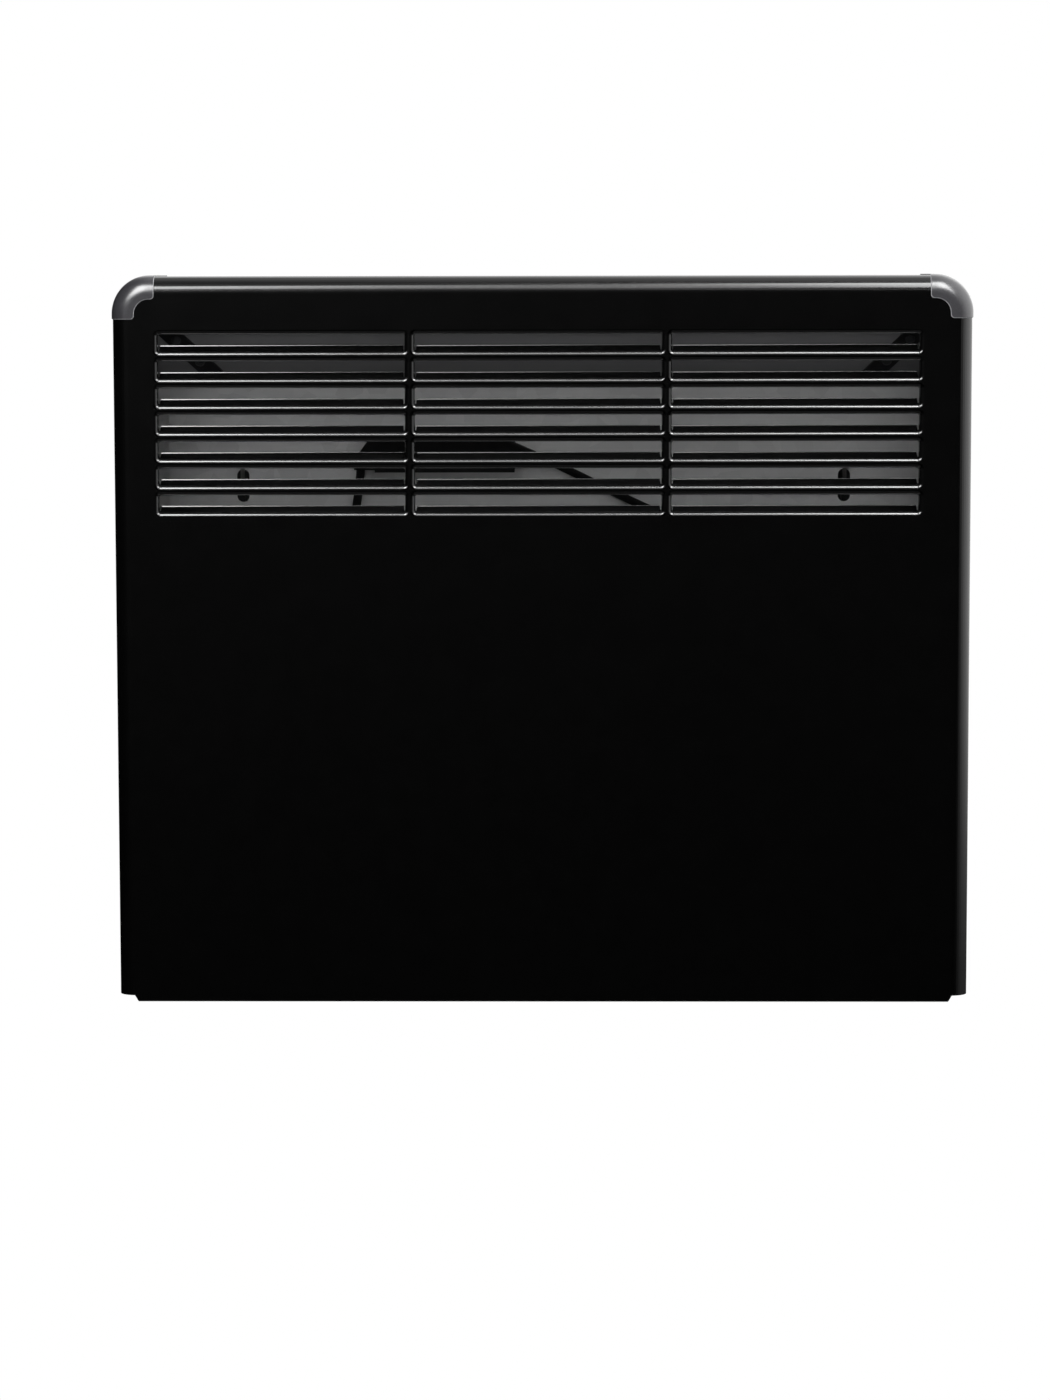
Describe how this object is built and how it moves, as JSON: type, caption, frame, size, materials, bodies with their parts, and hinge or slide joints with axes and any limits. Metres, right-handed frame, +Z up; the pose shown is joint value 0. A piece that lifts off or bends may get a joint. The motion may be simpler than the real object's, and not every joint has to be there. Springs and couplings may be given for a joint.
{
  "type": "panel heater",
  "caption": "wall-hung electric convector: folded black steel casing with a pressed slot grille, rounded corner caps, side controls and a hook-on wall bracket",
  "frame": {"origin": "on the wall plane, at the middle of the wall bracket's two screw holes", "axes": "+X along the casing's width to the right seen from the front, +Y from the front to the wall, +Z up"},
  "size_m": [0.4528, 0.0856, 0.3847],
  "materials": {
    "black_powder_coat": "satin black powder coat",
    "grey_plastic": "dark grey moulded plastic with a faint metallic sheen",
    "strap_black": "black painted strip",
    "zinc_sheet": "satin zinc-coated sheet",
    "fin_aluminium": "plain extruded aluminium",
    "ceramic": "unglazed ceramic",
    "plated_steel": "bright zinc-plated steel",
    "black_sleeve": "black heat-resistant sleeving",
    "control_plastic": "black moulded plastic, fine grain",
    "rocker_plastic": "polished black plastic",
    "amber_lens": "amber lamp lens",
    "white_plastic": "white moulded plastic",
    "grommet_rubber": "black rubber",
    "brown_wire": "brown wire covering",
    "blue_wire": "blue wire covering",
    "green_wire": "green wire covering"
  },
  "bodies": {
    "wall_bracket": {"wall_bracket": "zinc_sheet"},
    "casing": {"front_panel": "black_powder_coat", "corner_cap_left": "grey_plastic", "corner_cap_right": "grey_plastic", "rear_panel": "zinc_sheet", "air_deflector": "zinc_sheet", "cap_strap_left": "strap_black", "cap_strap_right": "strap_black", "element_core": "fin_aluminium", "element_insulator_left": "ceramic", "element_insulator_right": "ceramic", "element_terminals": "plated_steel", "element_bracket_left": "zinc_sheet", "element_bracket_right": "zinc_sheet", "thermal_cutout": "black_sleeve", "cutout_clip": "zinc_sheet", "control_bezel": "control_plastic", "thermostat_body": "control_plastic", "switch_housing": "control_plastic", "pilot_lens": "amber_lens", "terminal_block": "white_plastic", "inlet_bracket": "zinc_sheet", "cable_gland": "grommet_rubber", "earth_stud": "plated_steel", "wall_spacers": "control_plastic", "rear_panel_screws": "plated_steel", "element_screws": "plated_steel", "cutout_lead_left": "black_sleeve", "cutout_lead_right": "black_sleeve", "live_lead": "brown_wire", "neutral_lead": "blue_wire", "earth_lead": "green_wire"},
    "knob": {"thermostat_knob": "control_plastic", "thermostat_shaft": "plated_steel"},
    "rocker": {"switch_rocker": "rocker_plastic"}
  },
  "joints": [
    {"name": "lift_off", "type": "slide", "parent": "wall_bracket", "child": "casing", "axis": [0, 0, 1], "range_m": [0, 0.007]},
    {"name": "thermostat_turn", "type": "hinge", "parent": "casing", "child": "knob", "pos_m": [0.22, -0.034, -0.07525], "axis": [-1, 0, 0], "range_deg": [0, 270]},
    {"name": "switch_rock", "type": "hinge", "parent": "casing", "child": "rocker", "pos_m": [0.2125, -0.034, -0.12525], "axis": [0, 1, 0], "range_deg": [-16, 0]}
  ]
}
